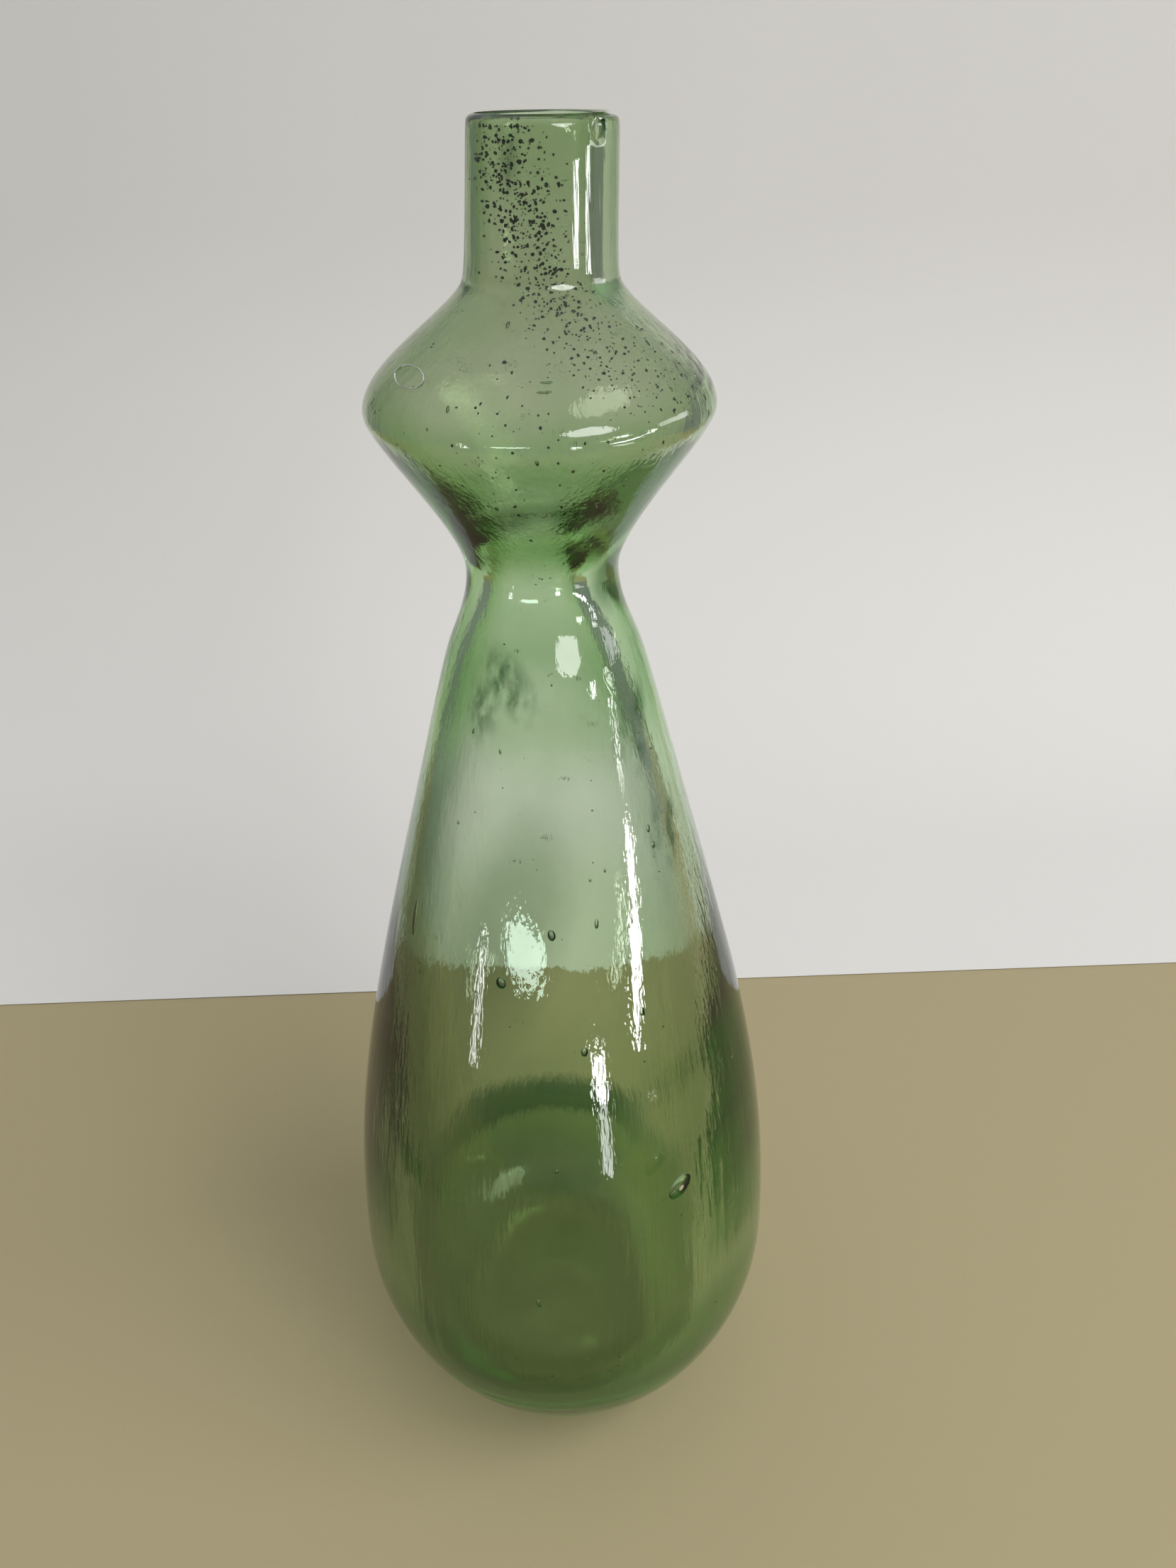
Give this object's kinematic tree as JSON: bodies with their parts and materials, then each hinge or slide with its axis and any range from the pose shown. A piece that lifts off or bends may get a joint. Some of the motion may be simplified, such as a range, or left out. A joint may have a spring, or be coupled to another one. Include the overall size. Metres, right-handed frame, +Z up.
{
  "type": "shepherd's glass bottle",
  "caption": "Free-blown green glass bottle: a tall body flaring from a pinched waist to a rounded base, a hollow bulge above the waist and a short straight neck.",
  "frame": {"origin": "on the surface that the bottle stands on, under the centre of its widest part", "axes": "+Z up along the bottle, -Y towards the viewer, +X to the viewer's right, on the side of the thicker wall"},
  "size_m": [0.0646, 0.0646, 0.19],
  "materials": {
    "green_glass": "clear pale green glass with seeds, striae and fine dark specks of dirt"
  },
  "bodies": {
    "root": {"bottle": "green_glass"}
  },
  "joints": []
}
